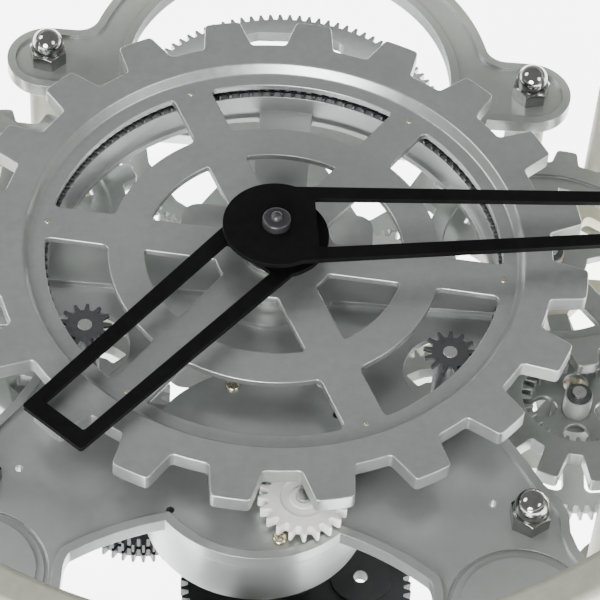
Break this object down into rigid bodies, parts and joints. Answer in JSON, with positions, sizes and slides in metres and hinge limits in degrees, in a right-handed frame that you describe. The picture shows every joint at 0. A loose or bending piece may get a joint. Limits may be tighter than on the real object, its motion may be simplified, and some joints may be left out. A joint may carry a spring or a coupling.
{
  "type": "kitchen clock",
  "caption": "Round skeleton wall clock: open silver gear train turned by a hidden motor, black skeleton hands, cream rim on four posts.",
  "frame": {"origin": "on the centre axis, in the plane of the wall pads' back faces", "axes": "+Z out of the face, +Y to twelve o'clock, +X to three o'clock"},
  "size_m": [0.3, 0.3, 0.082],
  "materials": {
    "rim_paint": "satin cream paint",
    "silver_paint": "satin silver paint",
    "nickel": "bright nickel plate",
    "back_steel": "satin silver paint",
    "black_rubber": "matt",
    "steel": "turned steel",
    "chrome": "polished chrome plate",
    "motor_can": "dull zinc plate",
    "ivory_plastic": "smooth moulded",
    "dark_plastic": "matt moulded",
    "brass": "turned brass",
    "white_plastic": "smooth moulded",
    "dark_steel": "dark",
    "black_plastic": "matt moulded",
    "grey_plastic": "matt moulded",
    "cell_wrap": "plain wrapper",
    "black_paint": "satin black paint"
  },
  "bodies": {
    "frame": {"rim": "rim_paint", "rim_posts": "rim_paint", "rim_brackets": "silver_paint", "rim_screws": "nickel", "back_plate": "back_steel", "wall_pads": "black_rubber", "pillars": "rim_paint", "tie_rods": "steel", "dome_nuts": "chrome", "bridge_plate": "silver_paint", "motor_bracket": "steel", "motor_screws": "nickel", "motor": "motor_can", "output_bush": "brass", "gear_studs": "steel", "stud_clips": "dark_steel", "movement_case": "black_plastic", "movement_bush": "brass", "centre_post": "steel", "movement_nut": "brass", "movement_cell": "cell_wrap", "battery_box": "black_plastic", "motor_cells": "cell_wrap"},
    "main_gear": {"main_gear": "silver_paint", "main_hub_bush": "brass", "main_rivets": "steel", "drive_ring": "dark_steel"},
    "drive_arbor": {"drive_pinion": "white_plastic", "output_arbor": "steel", "output_wheel": "dark_plastic"},
    "reduction": {"reduction_gear": "dark_plastic"},
    "motor_shaft": {"motor_pinion": "ivory_plastic"},
    "left_first_arbor": {"left_small_pinion": "black_plastic", "left_slotted_wheel": "grey_plastic"},
    "right_first_arbor": {"right_small_pinion": "black_plastic", "right_slotted_wheel": "grey_plastic"},
    "left_side_gear": {"left_side_gear": "silver_paint", "left_side_wheel": "ivory_plastic"},
    "right_side_gear": {"right_side_gear": "silver_paint", "right_side_wheel": "ivory_plastic"},
    "left_lower_gear": {"left_lower_gear": "silver_paint", "left_lower_wheel": "grey_plastic"},
    "right_lower_gear": {"right_lower_gear": "silver_paint", "right_lower_wheel": "grey_plastic"},
    "left_idler": {"left_idler": "white_plastic"},
    "right_idler": {"right_idler": "white_plastic"},
    "top_gear": {"top_gear": "silver_paint"},
    "hour": {"hour_tube": "steel", "hour_hand": "black_paint"},
    "minute": {"minute_arbor": "steel", "minute_hand": "black_paint", "cap_nut": "dark_steel"},
    "set_knob": {"set_knob": "black_plastic"},
    "battery_lid": {"battery_lid": "black_plastic"}
  },
  "joints": [
    {"name": "main_gear_spin", "type": "hinge", "parent": "frame", "child": "main_gear", "pos_m": [0, 0, 0.058], "axis": [0, 0, 1], "continuous": true},
    {"name": "drive_arbor_spin", "type": "hinge", "parent": "frame", "child": "drive_arbor", "pos_m": [0.01287, -0.08038, 0.03], "axis": [0, 0, 1], "continuous": true},
    {"name": "reduction_spin", "type": "hinge", "parent": "frame", "child": "reduction", "pos_m": [-0.03239, -0.05176, 0.03], "axis": [0, 0, 1], "continuous": true},
    {"name": "motor_spin", "type": "hinge", "parent": "frame", "child": "motor_shaft", "pos_m": [-0.00778, -0.0649, 0.03], "axis": [0, 0, 1], "continuous": true},
    {"name": "right_first_spin", "type": "hinge", "parent": "frame", "child": "right_first_arbor", "pos_m": [0.05066, -0.02925, 0.03], "axis": [0, 0, 1], "continuous": true},
    {"name": "left_first_spin", "type": "hinge", "parent": "frame", "child": "left_first_arbor", "pos_m": [-0.05066, -0.02925, 0.03], "axis": [0, 0, 1], "continuous": true},
    {"name": "right_side_spin", "type": "hinge", "parent": "frame", "child": "right_side_gear", "pos_m": [0.08041, 0.02228, 0.03], "axis": [0, 0, 1], "continuous": true},
    {"name": "left_side_spin", "type": "hinge", "parent": "frame", "child": "left_side_gear", "pos_m": [-0.08041, 0.02228, 0.03], "axis": [0, 0, 1], "continuous": true},
    {"name": "right_lower_spin", "type": "hinge", "parent": "frame", "child": "right_lower_gear", "pos_m": [0.08898, -0.02547, 0.03], "axis": [0, 0, 1], "continuous": true},
    {"name": "left_lower_spin", "type": "hinge", "parent": "frame", "child": "left_lower_gear", "pos_m": [-0.08898, -0.02547, 0.03], "axis": [0, 0, 1], "continuous": true},
    {"name": "right_idler_spin", "type": "hinge", "parent": "frame", "child": "right_idler", "pos_m": [0.03202, 0.02546, 0.03], "axis": [0, 0, 1], "continuous": true},
    {"name": "left_idler_spin", "type": "hinge", "parent": "frame", "child": "left_idler", "pos_m": [-0.03202, 0.02546, 0.03], "axis": [0, 0, 1], "continuous": true},
    {"name": "top_gear_spin", "type": "hinge", "parent": "frame", "child": "top_gear", "pos_m": [0, 0.07972, 0.03], "axis": [0, 0, 1], "continuous": true},
    {"name": "minute_hand_turn", "type": "hinge", "parent": "frame", "child": "minute", "pos_m": [0, 0, 0.07], "axis": [0, 0, 1], "continuous": true},
    {"name": "hour_hand_turn", "type": "hinge", "parent": "frame", "child": "hour", "pos_m": [0, 0, 0.066], "axis": [0, 0, 1], "continuous": true},
    {"name": "set_knob_turn", "type": "hinge", "parent": "frame", "child": "set_knob", "pos_m": [0.014, 0.013, 0.028], "axis": [0, 0, 1], "continuous": true},
    {"name": "battery_lid_slide", "type": "slide", "parent": "frame", "child": "battery_lid", "axis": [0, -1, 0], "range_m": [0, 0.02]}
  ],
  "couplings": [
    {"joint": "drive_arbor_spin", "follows": "main_gear_spin", "ratio": -6.4},
    {"joint": "reduction_spin", "follows": "main_gear_spin", "ratio": 8.832},
    {"joint": "motor_spin", "follows": "main_gear_spin", "ratio": -36.8},
    {"joint": "right_first_spin", "follows": "main_gear_spin", "ratio": 10},
    {"joint": "left_first_spin", "follows": "main_gear_spin", "ratio": 10},
    {"joint": "right_side_spin", "follows": "main_gear_spin", "ratio": -6.3014},
    {"joint": "left_side_spin", "follows": "main_gear_spin", "ratio": -6.3014},
    {"joint": "right_lower_spin", "follows": "main_gear_spin", "ratio": -2.8333},
    {"joint": "left_lower_spin", "follows": "main_gear_spin", "ratio": -2.8333},
    {"joint": "right_idler_spin", "follows": "main_gear_spin", "ratio": 19.167},
    {"joint": "left_idler_spin", "follows": "main_gear_spin", "ratio": 19.167},
    {"joint": "top_gear_spin", "follows": "main_gear_spin", "ratio": -4.5098},
    {"joint": "hour_hand_turn", "follows": "minute_hand_turn", "ratio": 0.083333},
    {"joint": "set_knob_turn", "follows": "minute_hand_turn", "ratio": -0.33333}
  ]
}
